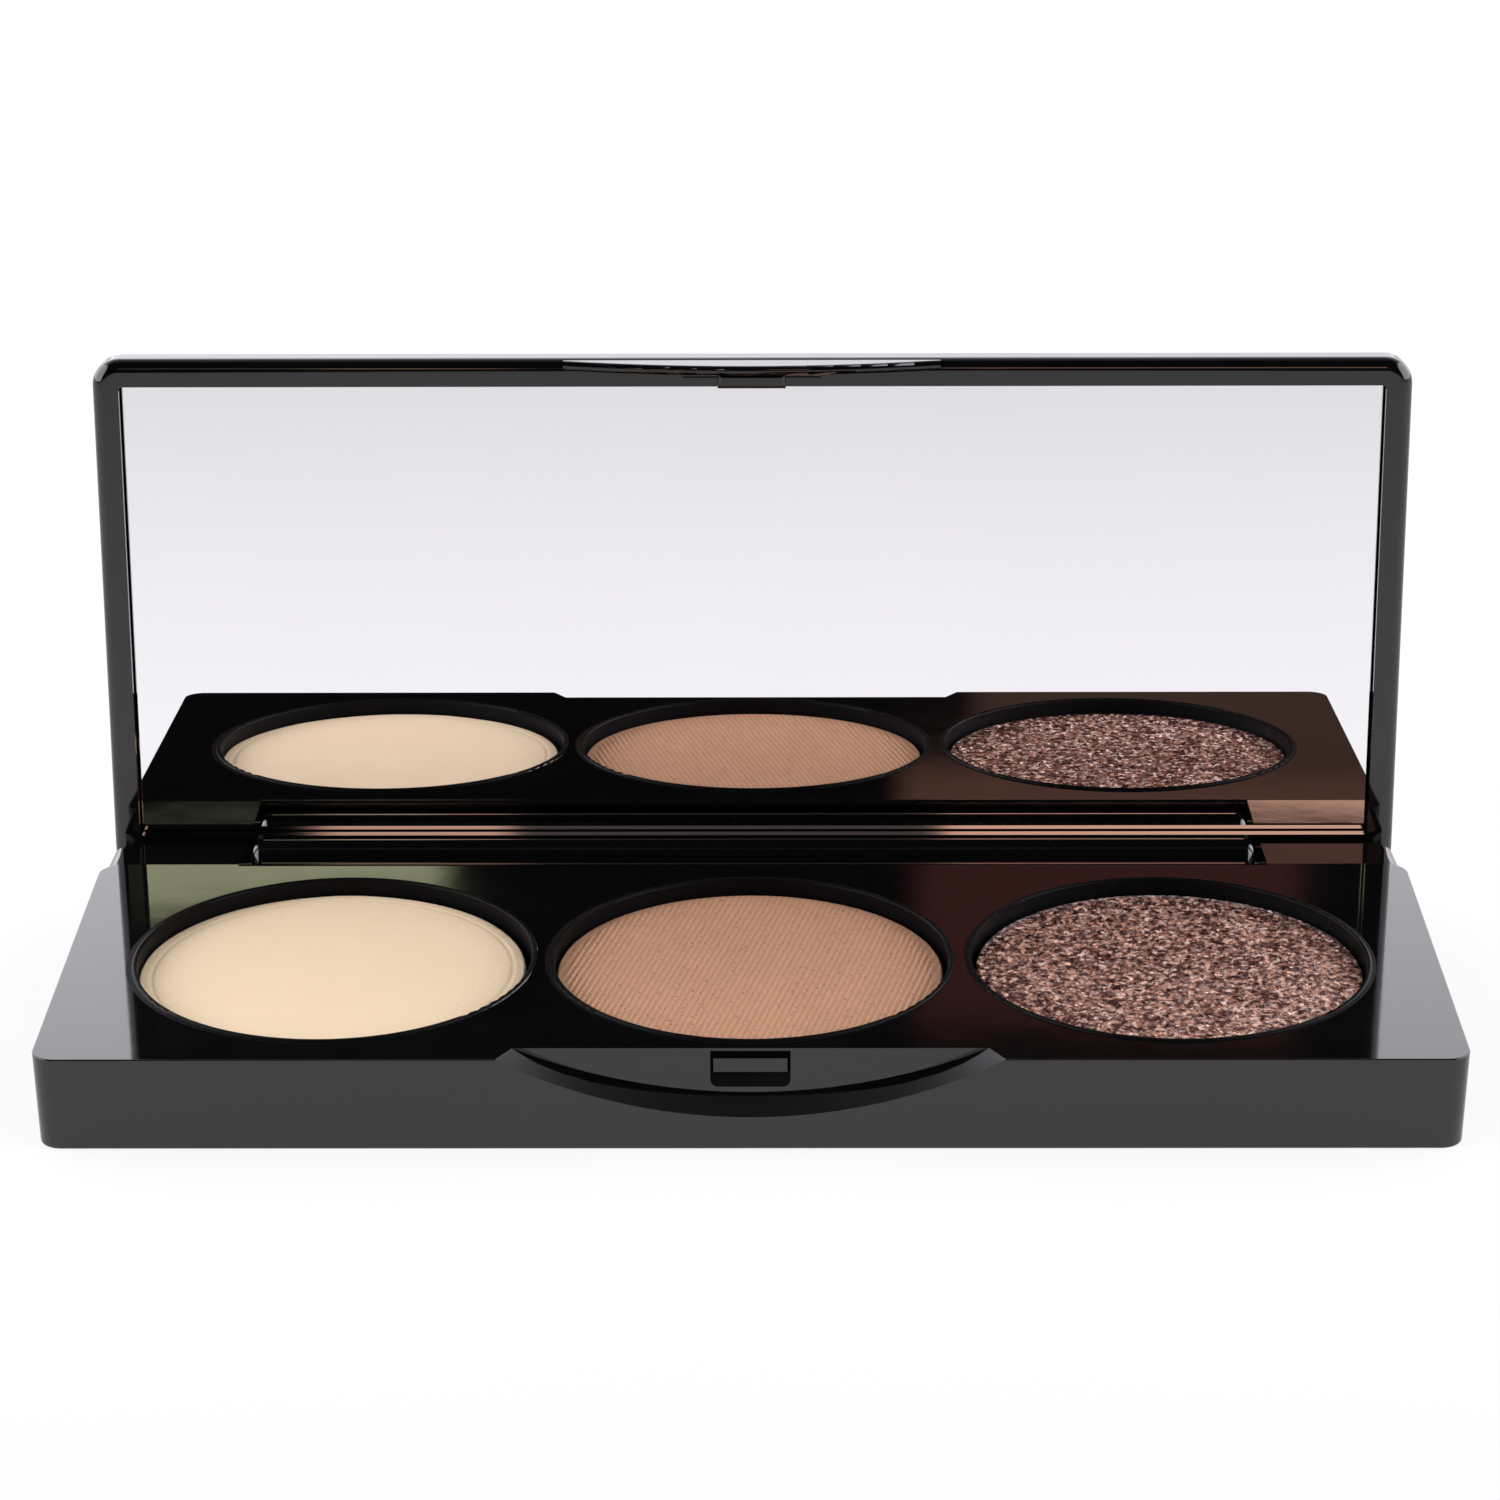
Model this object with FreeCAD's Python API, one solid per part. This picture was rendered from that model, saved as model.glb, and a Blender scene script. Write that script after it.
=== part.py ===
import FreeCAD, Part

import math
import os

# Trio eyeshadow compact, in millimetres.
# X runs along the long side, Y runs from the front (negative) to the hinge (positive), Z is up.
# The origin is the middle of the flat underside of the base.
# The lid is first built closed, flat on the base, and then turned open about the hinge axis.

V = FreeCAD.Vector

# overall sizes
WIDTH = 91.2
BASE_DEPTH = 37.4
LID_DEPTH = 38.0
DECK_TOP = 6.3
LID_THICK = 3.5
OPEN_ANGLE = 93.0
CLOSED_GAP = 0.08
FRONT = -BASE_DEPTH / 2.0

# outer shape of the base
CORNER_RADIUS = 1.5
FOOT_ROUND = 0.2
DECK_EDGE_ROUND = 0.08
SIDE_DRAFT = 0.2
NOTCH_EDGE_ROUND = 0.3
SIDE_WALL = 1.4
DECK_WALL = 1.2
DECK_DEPTH = 32.1

# wells, pans and powders
WELL_RADIUS = 13.11
WELL_PITCH = 27.7
WELL_CENTRE = 16.0
LIP_HALF_WIDTH = 0.19
LIP_SINK = 0.02
CUP_WALL = 0.35
PAN_RADIUS = 12.86
PAN_HEIGHT = 2.95
PAN_WALL = 0.25
PAN_SHIFT = {-1: -0.2, 0: -0.1, 1: 0.07}
POWDER_TOP = DECK_TOP - 0.93
POWDER_CROWN = 0.2
POWDER_CROWN_ROUND = 0.12
GLUE_THICK = 0.12
GLUE_RADIUS = 9.0

# underside
COVER_THICK = 1.0
COVER_MARGIN = 1.3
LABEL_THICK = 0.1
LABEL_RECESS = 0.12
LABEL_LENGTH = 58.0
LABEL_DEPTH = 22.0

# hinge
AXIS_DEPTH = 36.15
AXIS_HEIGHT = 4.64
BARREL_RADIUS = 1.85
BARREL_HALF = 35.5
BARREL_END_ROUND = 0.8
EAR_INNER = 36.0
EAR_INSET = 0.3
EAR_SLOPE = 5.0
BOSS_RADIUS = 1.25
BOSS_INNER = 35.6
EAR_REAR_ROUND = 0.7
NOTCH_FLOOR = 2.35
PIN_RADIUS = 0.6
PIN_RUNNING_GAP = 0.05
PIN_OUTER = 45.0
PIN_INNER = 30.4
PIN_END_CHAMFER = 0.15

# finger scoop and catch in the front of the base
SCOOP_SETBACK = 1.7
SCOOP_LOW_OUTER = 2.26
SCOOP_RADIUS_OUTER = 34.3
SCOOP_LOW_INNER = 3.23
SCOOP_RADIUS_INNER = 38.9
CATCH_HALF = 2.55
CATCH_LIP_LOW = 6.12
CATCH_BAND_HIGH = 5.58
CATCH_BAND_LOW = 4.64
CATCH_LOW = 3.6
CATCH_CORNER = 0.5
CATCH_SEAM = 0.2

# lid
LID_CORNER_RADIUS = 1.9
LID_TOP_ROUND = 1.6
LID_RIM_ROUND = 0.85
RIM = 1.87
RECESS_REAR = 34.6
MIRROR_SET = 1.1
MIRROR_THICK = 1.0
TAPE_THICK = 0.3
MIRROR_GAP = 0.1
SKIRT_HALF = 13.0
SKIRT_LOW = 4.7
SKIRT_FRONT = 0.1
SKIRT_BACK = 0.78
SKIRT_EDGE_ROUND = 0.3
HOOK_HALF = 2.35
HOOK_FRONT = 0.85
HOOK_BACK = 1.6
HOOK_LOW = 5.42
HOOK_CORNER = 0.4
BARB_REACH = 1.85
BARB_LOW = 5.72
BARB_HIGH = 6.02
PAD_HALF = 4.75
PAD_FRONT = 1.2
PAD_HIGH = 0.2



def depth(d):
    """Y of a point that lies d behind the front edge of the base."""
    return FRONT + d


def box(x0, x1, y0, y1, z0, z1):
    return Part.makeBox(x1 - x0, y1 - y0, z1 - z0, V(x0, y0, z0))


def rounded_block(x0, x1, y0, y1, z0, z1, radius):
    """Upright block whose four vertical corners are rounded."""
    block = box(x0, x1, y0, y1, z0, z1)
    corners = [e for e in block.Edges if is_upright(e)]
    return block.makeFillet(radius, corners)


def is_upright(edge):
    a = edge.Vertexes[0].Point
    b = edge.Vertexes[-1].Point
    return abs(a.x - b.x) < 1e-6 and abs(a.y - b.y) < 1e-6 and abs(a.z - b.z) > 1e-3


def edges_in_plane(shape, z, keep=None):
    """Edges that lie wholly at height z, thinned by an optional test on their middle point."""
    found = []
    for e in shape.Edges:
        bb = e.BoundBox
        if abs(bb.ZMin - z) < 1e-4 and abs(bb.ZMax - z) < 1e-4:
            if keep is None or keep(e.CenterOfMass):
                found.append(e)
    return found


def profile_along_x(points, half):
    """Extrudes a closed profile of (depth, height) points from -half to +half."""
    wire = Part.makePolygon([V(-half, depth(d), z) for d, z in points + points[:1]])
    return Part.Face(wire).extrude(V(2.0 * half, 0, 0))


def rod(radius, x0, x1):
    """Cylinder along X on the hinge axis."""
    return Part.makeCylinder(radius, x1 - x0, V(x0, depth(AXIS_DEPTH), AXIS_HEIGHT), V(1, 0, 0))


def well_x():
    return [(-1, -WELL_PITCH), (0, 0.0), (1, WELL_PITCH)]


def drafted_block(half, inset, y0, y1, z1, radius):
    """Block with rounded corners whose two end walls lean in by inset at the foot."""
    wires = []
    for z, h in ((0.0, half - inset), (z1, half)):
        outline = rounded_block(-h, h, y0, y1, z, z + 1.0, radius)
        foot = [f for f in outline.Faces if abs(f.BoundBox.ZMin - z) + abs(f.BoundBox.ZMax - z) < 1e-4]
        wires.append(foot[0].OuterWire)
    return Part.makeLoft(wires, True, True)


def scoop_outline(d, low, radius):
    """Closed outline in an upright plane: an arc that dips to low, closed along the deck."""
    top = DECK_TOP
    centre = low + radius
    half = math.sqrt(radius**2 - (centre - top) ** 2)
    left, right, dip = V(-half, depth(d), top), V(half, depth(d), top), V(0, depth(d), low)
    return Part.Wire([Part.Arc(left, dip, right).toShape(), Part.makeLine(right, left)])


def scoop_cutter():
    """The scoop: its ledge climbs from the front face to the set-back wall."""
    start = scoop_outline(0.0, SCOOP_LOW_OUTER, SCOOP_RADIUS_OUTER)
    end = scoop_outline(SCOOP_SETBACK, SCOOP_LOW_INNER, SCOOP_RADIUS_INNER)
    return facing_out(Part.makeLoft([start, end], True, True))


def facing_out(solid):
    """The same solid with its faces turned outwards."""
    if solid.Volume < 0:
        solid.reverse()
    return solid


def well_lip(x):
    """Half-round lip that stands a little above the deck around a well."""
    r0 = WELL_RADIUS
    r1 = WELL_RADIUS + 2.0 * LIP_HALF_WIDTH
    shoulder = DECK_TOP - LIP_SINK
    foot = DECK_TOP - 0.4
    crest = V(WELL_RADIUS + LIP_HALF_WIDTH, 0, shoulder + LIP_HALF_WIDTH)
    section = Part.Wire(
        [
            Part.makeLine(V(r0, 0, foot), V(r0, 0, shoulder)),
            Part.Arc(V(r0, 0, shoulder), crest, V(r1, 0, shoulder)).toShape(),
            Part.makeLine(V(r1, 0, shoulder), V(r1, 0, foot)),
            Part.makeLine(V(r1, 0, foot), V(r0, 0, foot)),
        ]
    )
    ring = Part.Face(section).revolve(V(0, 0, 0), V(0, 0, 1), 360)
    ring.translate(V(x, depth(WELL_CENTRE), 0))
    return ring


def cut_catch(body):
    """Catch in the set-back wall: a slot under a thin lip, a plain band and a rounded hollow.

    The floors of the slot and the hollow are ramps that climb into the wall.
    """
    s = SCOOP_SETBACK
    f = SCOOP_SETBACK - 0.3
    slot = profile_along_x(
        [(f, CATCH_BAND_HIGH), (s + 0.2, CATCH_BAND_HIGH), (s + 0.5, CATCH_LIP_LOW), (f, CATCH_LIP_LOW)],
        CATCH_HALF,
    )
    hollow = profile_along_x(
        [(f, CATCH_LOW), (s + 0.1, CATCH_LOW), (s + 0.6, CATCH_BAND_LOW), (f, CATCH_BAND_LOW)],
        CATCH_HALF,
    )
    plate = box(-CATCH_HALF, CATCH_HALF, depth(0.0), depth(4.0), CATCH_LOW, DECK_TOP)
    plate = plate.makeFillet(CATCH_CORNER, low_corners(plate, CATCH_LOW))
    body = body.cut(slot).cut(hollow.common(plate))
    for side in (-1, 1):
        wall = side * CATCH_HALF
        toe = side * (CATCH_HALF - CATCH_SEAM)
        corners = [V(toe, depth(s), 0), V(wall, depth(s), 0), V(wall, depth(s + 0.35), 0)]
        low = CATCH_LOW + CATCH_CORNER
        outline = Part.Face(Part.makePolygon(corners + corners[:1]))
        seam = facing_out(outline.extrude(V(0, 0, CATCH_LIP_LOW - low)))
        seam.translate(V(0, 0, low))
        body = body.cut(seam)
    return body


def make_base_deck():
    half = WIDTH / 2.0
    y0 = depth(0.0)
    y1 = depth(BASE_DEPTH)
    y_deck = depth(DECK_DEPTH)
    # the block under the deck, and the narrower block that carries the two hinge ears
    front = drafted_block(half, SIDE_DRAFT, y0, y_deck, DECK_TOP, CORNER_RADIUS)
    front = front.makeFillet(DECK_EDGE_ROUND, deck_rim_edges(front))
    ear_half = half - EAR_INSET
    rear = rounded_block(-ear_half, ear_half, y_deck - 6.0, y1, 0, DECK_TOP, CORNER_RADIUS)
    drop = math.tan(math.radians(EAR_SLOPE))
    fall = BASE_DEPTH - DECK_DEPTH + 1.0
    slope_cut = profile_along_x(
        [
            (DECK_DEPTH, DECK_TOP),
            (DECK_DEPTH + fall, DECK_TOP - fall * drop),
            (DECK_DEPTH + fall, DECK_TOP + 1.0),
            (DECK_DEPTH, DECK_TOP + 1.0),
        ],
        WIDTH,
    )
    rear = rear.cut(slope_cut)
    rear_top = DECK_TOP - (BASE_DEPTH - DECK_DEPTH) * drop
    ear_back = [
        e
        for e in rear.Edges
        if abs(e.BoundBox.YMin - y1) < 1e-4 and abs(e.BoundBox.ZMin - rear_top) < 1e-4
    ]
    rear = rear.makeFillet(EAR_REAR_ROUND, ear_back)
    body = front.fuse(rear).removeSplitter()
    body = body.makeFillet(FOOT_ROUND, edges_in_plane(body, 0.0))
    # room for the hinge barrel of the lid between the two ears
    notch = box(-EAR_INNER, EAR_INNER, y_deck, y1 + 1.0, NOTCH_FLOOR, DECK_TOP + 1.0)
    body = body.cut(notch)
    body = body.cut(rear_edge_cutter(y_deck))
    # hollow underneath, then the three well cups put back inside the hollow
    cavity_top = DECK_TOP - DECK_WALL
    cavity = rounded_block(
        -half + SIDE_WALL,
        half - SIDE_WALL,
        y0 + SIDE_WALL + SCOOP_SETBACK,
        y_deck - SIDE_WALL,
        -1.0,
        cavity_top,
        1.0,
    )
    cup_floor = COVER_THICK
    for side, x in well_x():
        cup = Part.makeCylinder(
            WELL_RADIUS + CUP_WALL, cavity_top + 2.0, V(x, depth(WELL_CENTRE), cup_floor)
        )
        cavity = cavity.cut(cup)
    body = body.cut(cavity)
    # seat for the bottom cover
    seat = cover_block(-1.0, COVER_THICK, 0.0)
    body = body.cut(seat)
    well_floor = POWDER_TOP - POWDER_CROWN - PAN_HEIGHT - GLUE_THICK
    for side, x in well_x():
        well = Part.makeCylinder(WELL_RADIUS, DECK_TOP, V(x, depth(WELL_CENTRE), well_floor))
        body = body.cut(well).fuse(well_lip(x))
    # finger scoop: a flat set-back face above an arched ledge
    body = body.cut(scoop_cutter())
    body = cut_catch(body)
    # small bosses on the ears, around the pins
    for side in (-1, 1):
        a, b = sorted((side * BOSS_INNER, side * (EAR_INNER + 0.5)))
        body = body.fuse(rod(BOSS_RADIUS, a, b))
    # pin holes through both ears
    for side in (-1, 1):
        a, b = sorted((side * (BOSS_INNER - 1.0), side * (half + 1.0)))
        body = body.cut(rod(PIN_RADIUS, a, b))
    return body


def deck_rim_edges(body):
    """Top edges along the front and the two sides of the deck."""
    half = WIDTH / 2.0
    found = []
    for e in edges_in_plane(body, DECK_TOP):
        c = e.CenterOfMass
        on_front = c.y < depth(CORNER_RADIUS)
        on_side = abs(c.x) > half - CORNER_RADIUS
        if on_front or on_side:
            found.append(e)
    return found


def rear_edge_cutter(y):
    """Rounds the rear edge of the deck between the two ears."""
    r = NOTCH_EDGE_ROUND
    waste = box(-EAR_INNER, EAR_INNER, y - r, y + 0.5, DECK_TOP - r, DECK_TOP + 0.5)
    kept = Part.makeCylinder(r, 2.0 * EAR_INNER, V(-EAR_INNER, y - r, DECK_TOP - r), V(1, 0, 0))
    return waste.cut(kept)


def cover_block(z0, z1, gap):
    half = WIDTH / 2.0 - COVER_MARGIN - gap
    return rounded_block(
        -half,
        half,
        depth(COVER_MARGIN + 1.9) + gap,
        depth(BASE_DEPTH - COVER_MARGIN) - gap,
        z0,
        z1,
        1.0,
    )


def label_block(z0, z1, gap):
    y = (depth(COVER_MARGIN + 1.9) + depth(BASE_DEPTH - COVER_MARGIN)) / 2.0
    x = LABEL_LENGTH / 2.0 - gap
    d = LABEL_DEPTH / 2.0 - gap
    return rounded_block(-x, x, y - d, y + d, z0, z1, 1.5)


def make_bottom_cover():
    cover = cover_block(0.0, COVER_THICK, 0.06)
    return cover.cut(label_block(-1.0, LABEL_RECESS, 0.0))


def make_pan(x):
    floor = POWDER_TOP - POWDER_CROWN - PAN_HEIGHT
    centre = V(x, depth(WELL_CENTRE), floor)
    inside = V(x, depth(WELL_CENTRE), floor + PAN_WALL)
    pan = Part.makeCylinder(PAN_RADIUS, PAN_HEIGHT, centre)
    pan = pan.makeFillet(0.4, [e for e in pan.Edges if is_ring_at(e, floor)])
    hollow = Part.makeCylinder(PAN_RADIUS - PAN_WALL, PAN_HEIGHT, inside)
    return pan.cut(hollow)


def is_ring_at(edge, z):
    bb = edge.BoundBox
    return abs(bb.ZMin - z) < 1e-4 and abs(bb.ZMax - z) < 1e-4


def make_powder(x):
    rim = POWDER_TOP - POWDER_CROWN
    floor = rim - PAN_HEIGHT + PAN_WALL
    cake = Part.makeCylinder(PAN_RADIUS - PAN_WALL, rim - floor, V(x, depth(WELL_CENTRE), floor))
    crown = Part.makeCylinder(PAN_RADIUS, POWDER_CROWN, V(x, depth(WELL_CENTRE), rim))
    crown = crown.makeFillet(POWDER_CROWN_ROUND, [e for e in crown.Edges if is_ring_at(e, POWDER_TOP)])
    return cake.fuse(crown)


def make_glue(x):
    floor = POWDER_TOP - POWDER_CROWN - PAN_HEIGHT - GLUE_THICK
    return Part.makeCylinder(GLUE_RADIUS, GLUE_THICK, V(x, depth(WELL_CENTRE), floor))


def make_pin(side):
    a, b = sorted((side * PIN_INNER, side * PIN_OUTER))
    pin = rod(PIN_RADIUS, a, b)
    rings = [e for e in pin.Edges if e.BoundBox.XLength < 1e-4]
    return pin.makeChamfer(PIN_END_CHAMFER, rings)


def make_lid_shell():
    """The lid as it lies closed; its rim face is CLOSED_GAP above the deck."""
    half = WIDTH / 2.0
    z0 = DECK_TOP + CLOSED_GAP
    z1 = DECK_TOP + LID_THICK
    y0 = depth(0.0)
    y1 = depth(LID_DEPTH)
    lid = rounded_block(-half, half, y0, y1, z0, z1, LID_CORNER_RADIUS)
    lid = lid.makeFillet(LID_TOP_ROUND, edges_in_plane(lid, z1))
    lid = lid.makeFillet(LID_RIM_ROUND, edges_in_plane(lid, z0))
    # recess for the mirror
    recess_top = DECK_TOP + MIRROR_SET + MIRROR_THICK + TAPE_THICK
    lid = lid.cut(
        rounded_block(-half + RIM, half - RIM, depth(RIM), depth(RECESS_REAR), 0, recess_top, 0.3)
    )
    # arched thumb lip under the front edge, a low pad, and the short snap hook with its barb
    lid = lid.fuse(make_skirt(z0))
    pad = box(-PAD_HALF, PAD_HALF, depth(PAD_FRONT), depth(HOOK_BACK), z0 - PAD_HIGH, z0 + 1.0)
    hook = profile_along_x(
        [
            (HOOK_FRONT, DECK_TOP + 0.6),
            (HOOK_BACK, DECK_TOP + 0.6),
            (HOOK_BACK, BARB_HIGH + 0.1),
            (BARB_REACH, BARB_HIGH),
            (BARB_REACH, BARB_LOW),
            (HOOK_BACK, BARB_LOW - 0.1),
            (HOOK_BACK, HOOK_LOW),
            (HOOK_FRONT + 0.2, HOOK_LOW),
            (HOOK_FRONT, HOOK_LOW + 0.2),
        ],
        HOOK_HALF,
    )
    lid = lid.fuse(pad).fuse(hook.common(hook_outline()))
    # hinge barrel and the web that joins it to the rim
    barrel = rod(BARREL_RADIUS, -BARREL_HALF, BARREL_HALF)
    rings = [e for e in barrel.Edges if e.BoundBox.XLength < 1e-4]
    barrel = barrel.makeFillet(BARREL_END_ROUND, rings)
    web = box(
        -BARREL_HALF + BARREL_END_ROUND,
        BARREL_HALF - BARREL_END_ROUND,
        depth(AXIS_DEPTH - 1.0),
        depth(AXIS_DEPTH + BARREL_RADIUS),
        AXIS_HEIGHT,
        z0 + 0.6,
    )
    lid = lid.fuse(barrel).fuse(web).removeSplitter()
    for side in (-1, 1):
        a, b = sorted((side * (PIN_INNER - 0.3), side * (BARREL_HALF + 1.0)))
        lid = lid.cut(rod(PIN_RADIUS + PIN_RUNNING_GAP, a, b))
    return lid


def make_skirt(z0):
    """Thumb lip: an arched plate that hangs from the front edge into the finger scoop."""
    root = z0 + 0.7
    dip = V(0, depth(SKIRT_FRONT), SKIRT_LOW)
    left, right = V(-SKIRT_HALF, depth(SKIRT_FRONT), z0), V(SKIRT_HALF, depth(SKIRT_FRONT), z0)
    top_left, top_right = V(-SKIRT_HALF, left.y, root), V(SKIRT_HALF, left.y, root)
    outline = Part.Wire(
        [
            Part.Arc(left, dip, right).toShape(),
            Part.makeLine(right, top_right),
            Part.makeLine(top_right, top_left),
            Part.makeLine(top_left, left),
        ]
    )
    plate = facing_out(Part.Face(outline).extrude(V(0, SKIRT_BACK - SKIRT_FRONT, 0)))
    rims = [e for e in plate.Edges if abs(e.BoundBox.ZMin - SKIRT_LOW) < 0.01]
    return plate.makeFillet(SKIRT_EDGE_ROUND, rims)


def hook_outline():
    """Front view of the hook, with its two lower corners rounded."""
    plate = box(-HOOK_HALF, HOOK_HALF, depth(0.0), depth(3.0), HOOK_LOW, DECK_TOP + 1.0)
    return plate.makeFillet(HOOK_CORNER, low_corners(plate, HOOK_LOW))


def low_corners(block, z):
    """Lower edges of a block that run from front to back."""
    return [e for e in block.Edges if abs(e.BoundBox.ZMax - z) < 1e-4 and e.BoundBox.XLength < 1e-4]


def mirror_block(z0, z1, gap, x0, x1):
    return box(x0, x1, depth(RIM) + gap, depth(RECESS_REAR) - gap, z0, z1)


def make_mirror():
    half = WIDTH / 2.0 - RIM - MIRROR_GAP
    z0 = DECK_TOP + MIRROR_SET
    return mirror_block(z0, z0 + MIRROR_THICK, MIRROR_GAP, -half, half)


def make_tape(side):
    z0 = DECK_TOP + MIRROR_SET + MIRROR_THICK
    a, b = sorted((side * 12.0, side * 40.0))
    return mirror_block(z0, z0 + TAPE_THICK, 6.0, a, b)


def opened(shape):
    """Turns a closed lid piece about the hinge axis to the open pose."""
    turned = shape.copy()
    turned.rotate(V(0, depth(AXIS_DEPTH), AXIS_HEIGHT), V(-1, 0, 0), OPEN_ANGLE)
    return turned


def save(shape, name):
    shape.exportStep("parts/" + name + ".step")


os.makedirs("parts", exist_ok=True)

save(make_base_deck(), "base_deck")
save(make_bottom_cover(), "bottom_cover")
save(label_block(LABEL_RECESS - LABEL_THICK, LABEL_RECESS, 0.1), "bottom_label")
for side, x in well_x():
    place = {-1: "left", 0: "middle", 1: "right"}[side]
    x = x + PAN_SHIFT[side]
    save(make_pan(x), "pan_" + place)
    save(make_powder(x), "powder_" + place)
    save(make_glue(x), "pan_glue_" + place)
for side, place in ((-1, "left"), (1, "right")):
    save(make_pin(side), "hinge_pin_" + place)
    save(opened(make_tape(side)), "mirror_tape_" + place)
save(opened(make_lid_shell()), "lid_shell")
save(opened(make_mirror()), "mirror_glass")
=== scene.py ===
import math

import bpy
import numpy as np
from mathutils import Matrix, Vector


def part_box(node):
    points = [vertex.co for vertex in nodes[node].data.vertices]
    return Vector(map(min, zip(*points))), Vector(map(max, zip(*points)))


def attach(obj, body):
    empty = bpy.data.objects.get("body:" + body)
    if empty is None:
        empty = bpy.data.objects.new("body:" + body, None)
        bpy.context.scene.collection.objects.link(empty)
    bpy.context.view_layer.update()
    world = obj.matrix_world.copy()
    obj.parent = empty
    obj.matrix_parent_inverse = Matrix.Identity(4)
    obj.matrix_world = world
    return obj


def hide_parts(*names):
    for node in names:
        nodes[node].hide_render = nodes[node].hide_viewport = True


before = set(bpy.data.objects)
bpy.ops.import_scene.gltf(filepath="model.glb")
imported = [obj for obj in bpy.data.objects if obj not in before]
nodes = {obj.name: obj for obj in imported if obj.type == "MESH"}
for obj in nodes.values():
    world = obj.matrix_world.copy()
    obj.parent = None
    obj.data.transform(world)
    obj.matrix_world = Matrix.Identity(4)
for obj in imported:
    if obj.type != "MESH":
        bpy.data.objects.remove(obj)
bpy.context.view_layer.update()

MM = 0.001


# ---------------------------------------------------------------- node helpers


class Graph:
    """A thin layer over a node tree, so that a material reads as a list of named steps."""

    def __init__(self, tree):
        self.tree = tree
        tree.nodes.clear()

    def add(self, kind, **values):
        node = self.tree.nodes.new(kind)
        for name, value in values.items():
            setattr(node, name, value)
        return node

    def feed(self, node, **inputs):
        """Sets or links inputs by name; an underscore in a name stands for a space."""
        for name, value in inputs.items():
            self.plug(node.inputs[name.replace("_", " ")], value)

    def plug(self, socket, value):
        if isinstance(value, bpy.types.NodeSocket):
            self.tree.links.new(value, socket)
        else:
            socket.default_value = value

    def run(self, node, *values):
        """Feeds the node's first inputs in order and gives its first output."""
        for socket, value in zip(node.inputs, values):
            self.plug(socket, value)
        return node.outputs[0]

    def math(self, operation, *values):
        return self.run(self.add("ShaderNodeMath", operation=operation), *values)

    def vector(self, operation, *values):
        return self.run(self.add("ShaderNodeVectorMath", operation=operation), *values)

    def smooth(self, value, low, high, out_low=0.0, out_high=1.0):
        """Maps low..high to out_low..out_high with soft ends, and holds the ends outside it."""
        node = self.add("ShaderNodeMapRange", interpolation_type="SMOOTHSTEP")
        return self.run(node, value, low, high, out_low, out_high)

    def linear(self, value, low, high, out_low=0.0, out_high=1.0):
        """The same with a straight slope."""
        return self.run(self.add("ShaderNodeMapRange"), value, low, high, out_low, out_high)

    def mix(self, factor, a, b):
        """A colour between a and b; sockets 6 and 7 are the node's two colours."""
        node = self.add("ShaderNodeMix", data_type="RGBA")
        self.plug(node.inputs["Factor"], factor)
        self.plug(node.inputs[6], a)
        self.plug(node.inputs[7], b)
        return node.outputs[2]

    def mix_value(self, factor, a, b):
        """A number between a and b; sockets 2 and 3 are the node's two numbers."""
        node = self.add("ShaderNodeMix", data_type="FLOAT")
        self.plug(node.inputs[0], factor)
        self.plug(node.inputs[2], a)
        self.plug(node.inputs[3], b)
        return node.outputs[0]

    def split(self, value):
        """The X, Y and Z of a vector."""
        parts = self.add("ShaderNodeSeparateXYZ")
        self.feed(parts, Vector=value)
        return parts.outputs["X"], parts.outputs["Y"], parts.outputs["Z"]

    def plan_distance(self, place, centre_x, centre_y):
        """The distance in plan from a centre, and its part along Y."""
        x, y, _ = self.split(place)
        dx = self.math("SUBTRACT", x, centre_x)
        dy = self.math("SUBTRACT", y, centre_y)
        square = self.math("ADD", self.math("MULTIPLY", dx, dx), self.math("MULTIPLY", dy, dy))
        return self.math("SQRT", square), dy

    def noise(self, place, size, detail=2.0, roughness=0.5):
        """Noise whose features are about size across, in metres."""
        node = self.add("ShaderNodeTexNoise")
        self.feed(node, Vector=place, Scale=1.0 / size, Detail=detail, Roughness=roughness)
        return node.outputs["Fac"]

    def cells(self, place, size):
        """Voronoi cells about size across; gives the distance and the colour of the cell."""
        node = self.add("ShaderNodeTexVoronoi", feature="F1")
        self.feed(node, Vector=place, Scale=1.0 / size)
        return node.outputs

    def bump(self, height, distance):
        node = self.add("ShaderNodeBump")
        self.feed(node, Height=height, Distance=distance, Strength=1.0)
        return node.outputs["Normal"]


def new_material(name):
    """An empty material: its graph, its shader and the object-space place of each point."""
    material = bpy.data.materials.new(name)
    material.use_nodes = True
    g = Graph(material.node_tree)
    shader = g.add("ShaderNodeBsdfPrincipled")
    output = g.add("ShaderNodeOutputMaterial")
    g.plug(output.inputs["Surface"], shader.outputs["BSDF"])
    place = g.add("ShaderNodeTexCoord").outputs["Object"]
    return material, g, shader, place


# ------------------------------------------------------------------- materials

WELL_GAP = 0.78 * MM
CLOTH_PITCH = 0.42 * MM
CLOTH_LEAN = math.radians(77)


def wells():
    """Centre and radius, in plan, of the wells that hold the three pans, out to their raised lips."""
    found = []
    for side in ("left", "middle", "right"):
        low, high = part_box("pan_" + side)
        radius = (high.x - low.x) / 2 + WELL_GAP
        found.append(((low.x + high.x) / 2, (low.y + high.y) / 2, radius))
    return found


WELLS = wells()


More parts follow.
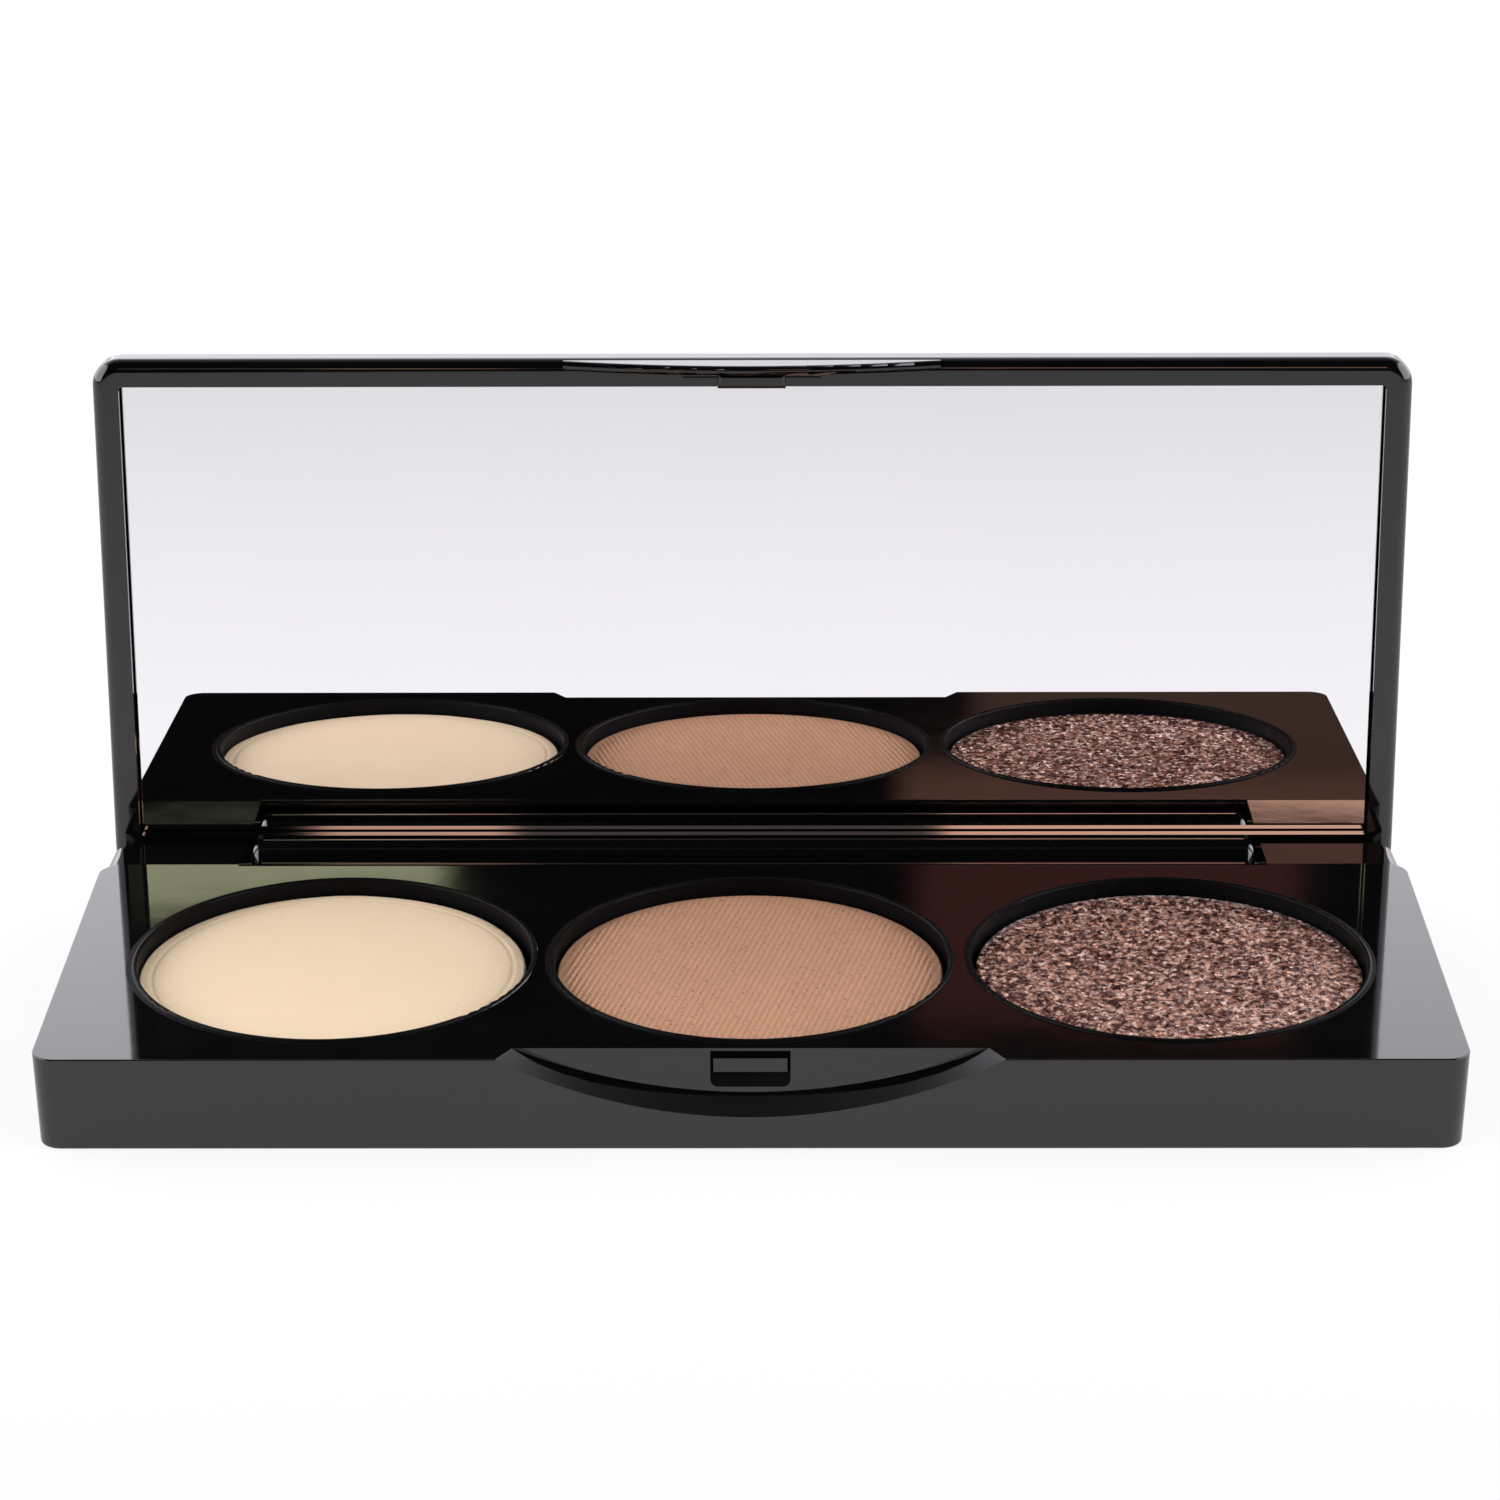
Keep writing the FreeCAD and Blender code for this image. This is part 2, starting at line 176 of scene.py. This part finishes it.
def gloss_black():
    """Polished black moulded plastic with a faint orange peel."""
    material, g, shader, place = new_material("black_gloss")
    cloud = g.noise(place, 6 * MM, 3.0)
    fine = g.noise(place, 0.35 * MM, 2.0)
    peel = g.math("ADD", cloud, g.math("MULTIPLY", fine, 0.02))
    g.feed(shader, Base_Color=g.mix(cloud, (0.0016, 0.0016, 0.0018, 1), (0.0034, 0.0033, 0.0036, 1)))
    g.feed(shader, Normal=g.bump(peel, 0.004 * MM))
    g.feed(shader, IOR=1.58)
    # The lips and walls of the wells are duller than the polished deck, in roughness and in specular
    # level. A linked specular level isn't exported, so in the exported model they differ in
    # roughness only.
    nearest = None
    for x, y, _ in WELLS:
        far, _ = g.plan_distance(place, x, y)
        nearest = far if nearest is None else g.math("MINIMUM", nearest, far)
    well_radius = WELLS[0][2]
    within = g.math("LESS_THAN", nearest, well_radius)
    polish = g.linear(cloud, 0.3, 0.7, 0.035, 0.06)
    g.feed(shader, Roughness=g.mix_value(within, polish, 0.45))
    g.feed(shader, Specular_IOR_Level=g.mix_value(within, 0.5, 0.05))
    return material


def matte_black():
    """Spark-eroded matt black plastic of the bottom cover."""
    material, g, shader, place = new_material("black_matte")
    grain = g.noise(place, 0.16 * MM, 3.0, 0.6)
    cloud = g.noise(place, 9 * MM, 2.0)
    g.feed(shader, Base_Color=g.mix(cloud, (0.012, 0.012, 0.013, 1), (0.02, 0.02, 0.021, 1)))
    g.feed(shader, Roughness=g.linear(grain, 0.3, 0.7, 0.42, 0.6))
    g.feed(shader, Normal=g.bump(grain, 0.02 * MM))
    g.feed(shader, IOR=1.55)
    return material


def silvered_glass():
    """The mirror: a silvered sheet, a touch cooler than grey, with a very faint haze."""
    material, g, shader, place = new_material("mirror")
    haze = g.noise(place, 14 * MM, 2.0)
    g.feed(shader, Base_Color=g.mix(haze, (0.88, 0.868, 0.89, 1), (0.90, 0.888, 0.91, 1)))
    g.feed(shader, Roughness=g.linear(haze, 0.3, 0.7, 0.0, 0.006))
    g.feed(shader, Metallic=1.0)
    return material


def brushed_metal(name, dark, bright, low, high, grain_size, axis):
    """Drawn or rolled metal whose fine lines run along one axis."""
    material, g, shader, place = new_material(name)
    stretch = [1.0, 1.0, 1.0]
    stretch[axis] = 0.05
    lines = g.noise(g.vector("MULTIPLY", place, tuple(stretch)), grain_size, 4.0)
    g.feed(shader, Base_Color=g.mix(lines, dark, bright))
    g.feed(shader, Roughness=g.linear(lines, 0.3, 0.7, low, high))
    g.feed(shader, Normal=g.bump(lines, 0.004 * MM))
    g.feed(shader, Metallic=1.0)
    return material


def blank_paper():
    """Coated label stock with its fibres just showing."""
    material, g, shader, place = new_material("label_paper")
    fibre = g.noise(g.vector("MULTIPLY", place, (1.0, 0.35, 1.0)), 0.5 * MM, 5.0, 0.65)
    g.feed(shader, Base_Color=g.mix(fibre, (0.74, 0.735, 0.71, 1), (0.83, 0.83, 0.81, 1)))
    g.feed(shader, Roughness=g.linear(fibre, 0.3, 0.7, 0.45, 0.6))
    g.feed(shader, Normal=g.bump(fibre, 0.01 * MM))
    return material


def foam():
    """Closed-cell mounting tape."""
    material, g, shader, place = new_material("foam_tape")
    cell = g.cells(place, 0.22 * MM)
    g.feed(shader, Base_Color=g.mix(cell["Distance"], (0.52, 0.52, 0.5, 1), (0.72, 0.72, 0.7, 1)))
    g.feed(shader, Normal=g.bump(cell["Distance"], 0.04 * MM))
    g.feed(shader, Roughness=g.linear(cell["Distance"], 0.0, 0.8, 0.7, 0.9))
    return material


def set_glue():
    """Hot-melt adhesive, cloudy and amber."""
    material, g, shader, place = new_material("glue")
    cloud = g.noise(place, 1.6 * MM, 3.0)
    g.feed(shader, Base_Color=g.mix(cloud, (0.62, 0.5, 0.3, 1), (0.75, 0.66, 0.46, 1)))
    g.feed(shader, Roughness=g.linear(cloud, 0.3, 0.7, 0.3, 0.5))
    g.feed(shader, Normal=g.bump(cloud, 0.05 * MM))
    return material


def woven_height(g, place, pitch):
    """Height of a plain fabric imprint: two crossed sets of threads."""
    x, y, _ = g.split(place)
    turn = 2 * math.pi / pitch
    warp = g.math("SINE", g.math("MULTIPLY", x, turn))
    weft = g.math("SINE", g.math("MULTIPLY", y, turn))
    return g.math("MULTIPLY", warp, weft)


def ivory_powder():
    """Pressed ivory powder with fine grain and the faint weave of its press cloth."""
    material, g, shader, place = new_material("powder_ivory")
    grain = g.noise(place, 0.09 * MM, 3.0, 0.6)
    cloud = g.noise(place, 5 * MM, 2.0)
    tone = g.mix(cloud, (0.90, 0.715, 0.47, 1), (0.94, 0.755, 0.515, 1))
    speck = g.linear(grain, 0.25, 0.75, 0.25, 0.0)
    g.feed(shader, Base_Color=g.mix(speck, tone, (0.72, 0.54, 0.35, 1)))
    g.feed(shader, Roughness=g.linear(grain, 0.3, 0.7, 0.7, 0.85))
    weave = woven_height(g, place, 0.3 * MM)
    height = g.math("ADD", g.math("MULTIPLY", weave, 0.35), grain)
    g.feed(shader, Normal=g.bump(height, 0.02 * MM))
    g.feed(shader, Specular_IOR_Level=0.3)
    return material


def tan_powder():
    """Pressed tan powder, with painted shade in the grooves of its press cloth and in its fine pits."""
    material, g, shader, place = new_material("powder_tan")
    grain = g.noise(place, 0.08 * MM, 3.0, 0.65)
    cloud = g.noise(place, 4 * MM, 2.0)
    tone = g.mix(cloud, (0.61, 0.335, 0.195, 1), (0.70, 0.395, 0.24, 1))
    tone = g.mix(g.linear(grain, 0.25, 0.75, 0.35, 0.0), tone, (0.3, 0.15, 0.08, 1))
    x, y, _ = g.split(place)
    across = g.math(
        "SUBTRACT",
        g.math("MULTIPLY", x, math.sin(CLOTH_LEAN)),
        g.math("MULTIPLY", y, math.cos(CLOTH_LEAN)),
    )
    wave = g.math("SINE", g.math("MULTIPLY", across, 2 * math.pi / CLOTH_PITCH))
    # painted shade: the colour darkens in the grooves between the ribs of the press cloth
    tone = g.mix(g.smooth(wave, -1.0, 0.1, 0.32, 0.0), tone, (0.30, 0.14, 0.07, 1))
    # painted shade: fine pits coloured dark, as if in shadow
    pits = g.smooth(g.noise(place, 0.22 * MM, 1.0), 0.64, 0.74)
    g.feed(shader, Base_Color=g.mix(pits, tone, (0.24, 0.11, 0.055, 1)))
    g.feed(shader, Roughness=g.linear(grain, 0.3, 0.7, 0.6, 0.8))
    g.feed(shader, Normal=g.bump(grain, 0.03 * MM))
    g.feed(shader, Specular_IOR_Level=0.3)
    return material


def rose_glitter():
    """Dark rose paste full of tilted flakes: some pale, some copper, most of them in shade."""
    material, g, shader, place = new_material("powder_rose")
    flakes = g.cells(place, 0.24 * MM)
    shade = g.add("ShaderNodeSeparateColor")
    g.feed(shade, Color=flakes["Color"])
    warm = g.mix(shade.outputs["Red"], (0.30, 0.11, 0.085, 1), (0.64, 0.35, 0.235, 1))
    pale = g.mix(g.smooth(shade.outputs["Green"], 0.7, 0.8), warm, (1.0, 0.72, 0.60, 1))
    gap = g.smooth(g.noise(place, 0.5 * MM, 2.0), 0.38, 0.58)
    body = g.mix(gap, (0.095, 0.028, 0.022, 1), pale)
    # painted highlight: the cake is coloured pale along its rim on the back side only, as if lit from
    # behind
    x, y, radius = WELLS[2]
    far, back = g.plan_distance(place, x, y)
    rim_highlight_mask = g.smooth(far, radius - WELL_GAP - 0.55 * MM, radius - WELL_GAP - 0.3 * MM)
    behind = g.smooth(back, 1 * MM, 7 * MM)
    g.feed(shader, Base_Color=g.mix(g.math("MULTIPLY", rim_highlight_mask, behind), body, (0.52, 0.37, 0.36, 1)))
    g.feed(shader, Metallic=g.smooth(shade.outputs["Blue"], 0.5, 0.65, 0.1, 0.9))
    g.feed(shader, Roughness=g.linear(shade.outputs["Green"], 0.0, 1.0, 0.18, 0.4))
    tilt = g.vector("SUBTRACT", flakes["Color"], (0.5, 0.5, 0.5))
    normal = g.add("ShaderNodeNewGeometry").outputs["Normal"]
    leaning = g.vector("ADD", normal, g.vector("MULTIPLY", tilt, (1.3, 1.3, 1.3)))
    g.feed(shader, Normal=g.vector("NORMALIZE", leaning))
    return material


MATERIALS = {
    "black_gloss": gloss_black(),
    "black_matte": matte_black(),
    "mirror": silvered_glass(),
    "pin_steel": brushed_metal(
        "pin_steel", (0.5, 0.5, 0.5, 1), (0.66, 0.66, 0.65, 1), 0.2, 0.35, grain_size=0.2 * MM, axis=0
    ),
    "tin_pan": brushed_metal(
        "tin_pan", (0.58, 0.58, 0.57, 1), (0.74, 0.74, 0.72, 1), 0.25, 0.4, grain_size=0.3 * MM, axis=1
    ),
    "label_paper": blank_paper(),
    "foam_tape": foam(),
    "glue": set_glue(),
    "powder_ivory": ivory_powder(),
    "powder_tan": tan_powder(),
    "powder_rose": rose_glitter(),
}


def paint(obj, slot):
    obj.data.materials.clear()
    obj.data.materials.append(MATERIALS[slot])


NODE_SLOTS = {
    "base_deck": "black_gloss",
    "lid_shell": "black_gloss",
    "bottom_cover": "black_matte",
    "bottom_label": "label_paper",
    "mirror_glass": "mirror",
    "mirror_tape": "foam_tape",
    "hinge_pin": "pin_steel",
    "pan_glue": "glue",
    "pan": "tin_pan",
    "powder_left": "powder_ivory",
    "powder_middle": "powder_tan",
    "powder_right": "powder_rose",
}


def slot_of(node):
    """The finish of a CAD node, by the longest name that its own name starts with."""
    fits = [key for key in NODE_SLOTS if node.startswith(key)]
    return NODE_SLOTS[max(fits, key=len)]


for node_name, node_object in nodes.items():
    paint(node_object, slot_of(node_name))


# --------------------------------------------------------------------- powders

RING_STEP = 0.078 * MM
PAN_WALL = 0.25 * MM
CAKE_EDGE = 0.14 * MM
RELIEF_ROOM = 0.05 * MM
LIP_CLEARANCE = 0.002 * MM
PLUG_CLEARANCE = 0.01 * MM
IVORY_PITCH = 0.31 * MM


def disc_points(radius, step):
    """Points of a disc in even rings, ring k holding 6k points, and the triangles between them."""
    rings = int(round(radius / step))
    points = [(0.0, 0.0)]
    faces = []
    starts = [0]
    for k in range(1, rings + 1):
        starts.append(len(points))
        angles = np.arange(6 * k) * (2 * math.pi / (6 * k))
        r = radius * k / rings
        points.extend(zip(r * np.cos(angles), r * np.sin(angles)))
    for k in range(1, rings + 1):
        outer, inner = starts[k], starts[k - 1]
        n_out, n_in = 6 * k, max(1, 6 * (k - 1))
        for side in range(6):
            for j in range(k):
                a = outer + (side * k + j) % n_out
                b = outer + (side * k + j + 1) % n_out
                c = inner + (side * (k - 1) + j) % n_in
                faces.append((a, b, c))
                if j < k - 1:
                    d = inner + (side * (k - 1) + j + 1) % n_in
                    faces.append((b, d, c))
    return np.array(points), faces, starts[rings]


def lattice(seed, x, y, size):
    """Smooth value noise in the range -1 to 1, with features about size across."""
    rng = np.random.default_rng(seed)
    table = rng.uniform(-1.0, 1.0, (256, 256))
    # moved well away from the table's corner, so that every index starts positive
    u, v = x / size + 91.3, y / size + 57.7
    i, j = np.floor(u).astype(int), np.floor(v).astype(int)
    fu, fv = u - i, v - j
    fu, fv = fu * fu * (3 - 2 * fu), fv * fv * (3 - 2 * fv)
    a = table[i % 256, j % 256]
    b = table[(i + 1) % 256, j % 256]
    c = table[i % 256, (j + 1) % 256]
    d = table[(i + 1) % 256, (j + 1) % 256]
    return (a * (1 - fu) + b * fu) * (1 - fv) + (c * (1 - fu) + d * fu) * fv


def step_up(value, low, high):
    t = np.clip((value - low) / (high - low), 0.0, 1.0)
    return t * t * (3 - 2 * t)


def ivory_relief(x, y, inside):
    """A faint weave and slow swells, with a shallow groove running round near the edge."""
    weave = np.sin(x * 2 * math.pi / IVORY_PITCH) * np.sin(y * 2 * math.pi / IVORY_PITCH)
    field = step_up(inside, 0.6 * MM, 0.9 * MM)
    grain = lattice(11, x, y, 0.16 * MM)
    ring = np.exp(-(((inside - 0.85 * MM) / (0.13 * MM)) ** 2))
    swell = lattice(12, x, y, 3 * MM)
    return (weave * 0.006 * field + grain * 0.006 - ring * 0.035 + swell * 0.02) * MM


def tan_relief(x, y, inside):
    """Leaning ribs of the press cloth, each broken into dashes, with scattered pits."""
    across = x * math.sin(CLOTH_LEAN) - y * math.cos(CLOTH_LEAN)
    along = x * math.cos(CLOTH_LEAN) + y * math.sin(CLOTH_LEAN)
    wobble = lattice(21, x, y, 1.6 * MM) * 0.02 * MM
    rib = np.sin((across + wobble) * 2 * math.pi / CLOTH_PITCH)
    dash = 0.7 + 0.3 * np.sin(along * 2 * math.pi / (0.34 * MM) + lattice(22, x, y, 0.7 * MM) * 2)
    field = step_up(inside, 0.55 * MM, 0.85 * MM)
    pits = step_up(lattice(23, x, y, 0.3 * MM), 0.72, 0.9)
    grain = lattice(24, x, y, 0.15 * MM)
    return (rib * dash * 0.05 * field - pits * 0.08 * field + grain * 0.008) * MM


def rose_relief(x, y, inside):
    """Clumped paste with a random height at each point, calmer near the edge."""
    field = step_up(inside, 0.5 * MM, 0.8 * MM)
    clump = lattice(31, x, y, 0.5 * MM) * 0.05
    rng = np.random.default_rng(33)
    flakes = rng.uniform(-1.0, 1.0, len(x)) * 0.02
    return ((clump + flakes) * (0.15 + 0.85 * field) + lattice(34, x, y, 0.25 * MM) * 0.02) * MM


def pressed_powder(side, slot, relief, smooth):
    """One cake: a finely modelled top, a rounded rim over the pan's lip, and a plug into the pan."""
    low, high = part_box("powder_" + side)
    pan_low, pan_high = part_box("pan_" + side)
    centre = (low + high) / 2
    radius = (high.x - low.x) / 2
    plug = (pan_high.x - pan_low.x) / 2 - PAN_WALL
    flat, faces, rim_start = disc_points(radius, RING_STEP)
    x, y = flat[:, 0], flat[:, 1]
    inside = radius - np.hypot(x, y)
    near = np.clip(1.0 - inside / CAKE_EDGE, 0.0, 1.0)
    drop = CAKE_EDGE * (1.0 - np.sqrt(1.0 - near * near))
    z = high.z - RELIEF_ROOM - drop + relief(x + centre.x, y + centre.y, inside)
    points = [tuple(p) for p in np.column_stack([x, y, z])]
    count = len(points) - rim_start
    ring = list(range(rim_start, len(points)))
    over_lip = pan_high.z + LIP_CLEARANCE
    inner = plug - PLUG_CLEARANCE
    for r, height in [(radius, over_lip), (inner, over_lip), (inner, low.z)]:
        start = len(points)
        for k in range(count):
            angle = 2 * math.pi * k / count
            points.append((r * math.cos(angle), r * math.sin(angle), height))
        fresh = list(range(start, start + count))
        for k in range(count):
            faces.append((ring[k], fresh[k], fresh[(k + 1) % count], ring[(k + 1) % count]))
        ring = fresh
    faces.append(tuple(reversed(ring)))
    mesh = bpy.data.meshes.new("pressed_powder_" + side)
    mesh.from_pydata(points, [], faces)
    mesh.transform(Matrix.Translation((centre.x, centre.y, 0)))
    mesh.polygons.foreach_set("use_smooth", [smooth] * len(mesh.polygons))
    mesh.update()
    piece = bpy.data.objects.new("pressed_powder_" + side, mesh)
    bpy.context.scene.collection.objects.link(piece)
    paint(piece, slot)
    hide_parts("powder_" + side)
    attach(piece, "base")


pressed_powder("left", "powder_ivory", ivory_relief, True)
pressed_powder("middle", "powder_tan", tan_relief, True)
pressed_powder("right", "powder_rose", rose_relief, False)


# ---------------------------------------------------------------- floor, light


def pale_floor():
    """A lit white tabletop: its own glow, dimmer towards the front, and a little of the light on it."""
    side = 1.6
    corners = [(-side, -side, 0), (side, -side, 0), (side, side, 0), (-side, side, 0)]
    mesh = bpy.data.meshes.new("floor")
    mesh.from_pydata(corners, [], [(0, 1, 2, 3)])
    floor = bpy.data.objects.new("floor", mesh)
    bpy.context.scene.collection.objects.link(floor)
    material = bpy.data.materials.new("floor_white")
    material.use_nodes = True
    g = Graph(material.node_tree)
    _, y, _ = g.split(g.add("ShaderNodeTexCoord").outputs["Object"])
    # two slopes that meet at one level, the second taking the glow down to nothing far in front
    meeting = 0.55
    near = g.linear(y, -0.25, -0.02, meeting, 0.85)
    far = g.linear(y, -1.3, -0.25, 0.0, meeting)
    glow = g.math("ADD", near, g.math("SUBTRACT", far, meeting))
    emission = g.add("ShaderNodeEmission")
    g.feed(emission, Color=(1.0, 0.998, 1.0, 1), Strength=glow)
    diffuse = g.add("ShaderNodeBsdfDiffuse")
    g.feed(diffuse, Color=(0.16, 0.16, 0.16, 1))
    both = g.add("ShaderNodeAddShader")
    g.plug(both.inputs[0], emission.outputs[0])
    g.plug(both.inputs[1], diffuse.outputs[0])
    output = g.add("ShaderNodeOutputMaterial")
    g.plug(output.inputs["Surface"], both.outputs[0])
    mesh.materials.append(material)


# Small lamps and furniture of the dark room in front. Each is a range of azimuth from straight
# ahead and a range of elevation, both in degrees, and a colour.
ROOM_PATCHES = [
    ((-9.5, -5.3), (26.5, 28.7), (1.65, 1.72, 1.05)),
    ((2.4, 7.5), (27.8, 30.5), (0.2, 0.065, 0.05)),
    ((2.5, 9.5), (20.3, 25.5), (3.2, 1.8, 1.28)),
    ((2.0, 9.5), (15.5, 19.4), (0.3, 0.14, 0.10)),
    ((3.0, 16.0), (11.5, 15.0), (0.15, 0.085, 0.06)),
    ((-6.2, -3.8), (20.3, 25.5), (2.6, 1.45, 1.1)),
    ((-3.5, 2.0), (20.3, 25.5), (0.25, 0.2, 0.19)),
]


def soft_studio():
    """Light by direction: a bright wall behind that fades with height, a softbox at each side, and
    a nearly black room in front with a few patches. The camera itself sees plain white."""
    world = bpy.data.worlds.new("studio")
    bpy.context.scene.world = world
    world.use_nodes = True
    g = Graph(world.node_tree)
    x, y, z = g.split(g.add("ShaderNodeTexCoord").outputs["Generated"])
    climb = g.smooth(z, 0.3, 0.95, 1.0, 0.07)
    behind = g.math("MULTIPLY", g.smooth(y, -0.1, 0.25), climb)
    rise = g.math("MULTIPLY", g.linear(z, 0.15, 0.34, 2.1, 2.85), g.linear(z, 0.34, 0.45, 1.0, 0.88))
    slant = g.linear(x, -0.3, 0.3, 1.1, 0.9)
    sweep = g.math("MULTIPLY", behind, g.math("MULTIPLY", rise, slant))
    softbox = 3.9
    sides = g.math("MULTIPLY", g.smooth(g.math("ABSOLUTE", x), 0.58, 0.7), softbox)
    dark_room = 0.003
    light = g.math("MAXIMUM", g.math("MAXIMUM", sweep, sides), dark_room)
    horizon = g.smooth(z, 0.0, 0.05)
    ground = g.smooth(y, -0.3, 0.1, 0.03, 0.85)
    below = g.math("MULTIPLY", g.math("SUBTRACT", 1.0, horizon), ground)
    amount = g.math("ADD", g.math("MULTIPLY", light, horizon), below)
    grey = g.add("ShaderNodeCombineXYZ")
    g.feed(grey, X=amount, Y=amount, Z=amount)
    colour = g.vector("MULTIPLY", grey.outputs[0], (1.0, 0.98, 1.035))
    azimuth = g.math("DEGREES", g.math("ARCTAN2", x, g.math("MULTIPLY", y, -1.0)))
    elevation = g.math("DEGREES", g.math("ARCSINE", z))
    for (left, right), (bottom, top), tint in ROOM_PATCHES:
        across = band(g, azimuth, left, right, 0.6)
        upward = band(g, elevation, bottom, top, 0.4)
        colour = g.mix(g.math("MULTIPLY", across, upward), colour, tint + (1,))
    lit = g.add("ShaderNodeBackground")
    g.feed(lit, Color=colour, Strength=1.0)
    plain = g.add("ShaderNodeBackground")
    g.feed(plain, Color=(1, 1, 1, 1), Strength=1.0)
    choose = g.add("ShaderNodeMixShader")
    g.plug(choose.inputs[0], g.add("ShaderNodeLightPath").outputs["Is Camera Ray"])
    g.plug(choose.inputs[1], lit.outputs[0])
    g.plug(choose.inputs[2], plain.outputs[0])
    output = g.add("ShaderNodeOutputWorld")
    g.plug(output.inputs["Surface"], choose.outputs[0])


def band(g, value, low, high, soft):
    """One inside the range, zero outside it, with soft ends."""
    rise = g.smooth(value, low - soft, low)
    fall = g.smooth(value, high, high + soft, 1.0, 0.0)
    return g.math("MULTIPLY", rise, fall)


pale_floor()
soft_studio()


# ---------------------------------------------------------------------- camera

CAMERA_PLACE = Vector((0.00173, -0.26712, 0.12301))
CAMERA_DOWN = math.radians(21.084)
CAMERA_TURN = math.radians(-0.386)
CAMERA_ROLL = math.radians(-0.201)
CAMERA_LENS = 104.16


def still_camera():
    """The camera, placed by its turn from straight ahead, its dip below level and its roll."""
    data = bpy.data.cameras.new("camera")
    data.lens = CAMERA_LENS
    data.sensor_width = 36.0
    data.clip_start = 0.01
    data.clip_end = 50.0
    camera = bpy.data.objects.new("camera", data)
    bpy.context.scene.collection.objects.link(camera)
    forward = Vector((
        math.sin(CAMERA_TURN) * math.cos(CAMERA_DOWN),
        math.cos(CAMERA_TURN) * math.cos(CAMERA_DOWN),
        -math.sin(CAMERA_DOWN),
    ))
    level = Vector((math.cos(CAMERA_TURN), -math.sin(CAMERA_TURN), 0.0))
    upright = level.cross(forward)
    right = level * math.cos(CAMERA_ROLL) + upright * math.sin(CAMERA_ROLL)
    up = upright * math.cos(CAMERA_ROLL) - level * math.sin(CAMERA_ROLL)
    turn = Matrix((right, up, -forward)).transposed().to_4x4()
    camera.matrix_world = Matrix.Translation(CAMERA_PLACE) @ turn
    bpy.context.scene.camera = camera


still_camera()
bpy.context.scene.view_settings.view_transform = "Standard"
bpy.context.scene.view_settings.look = "None"
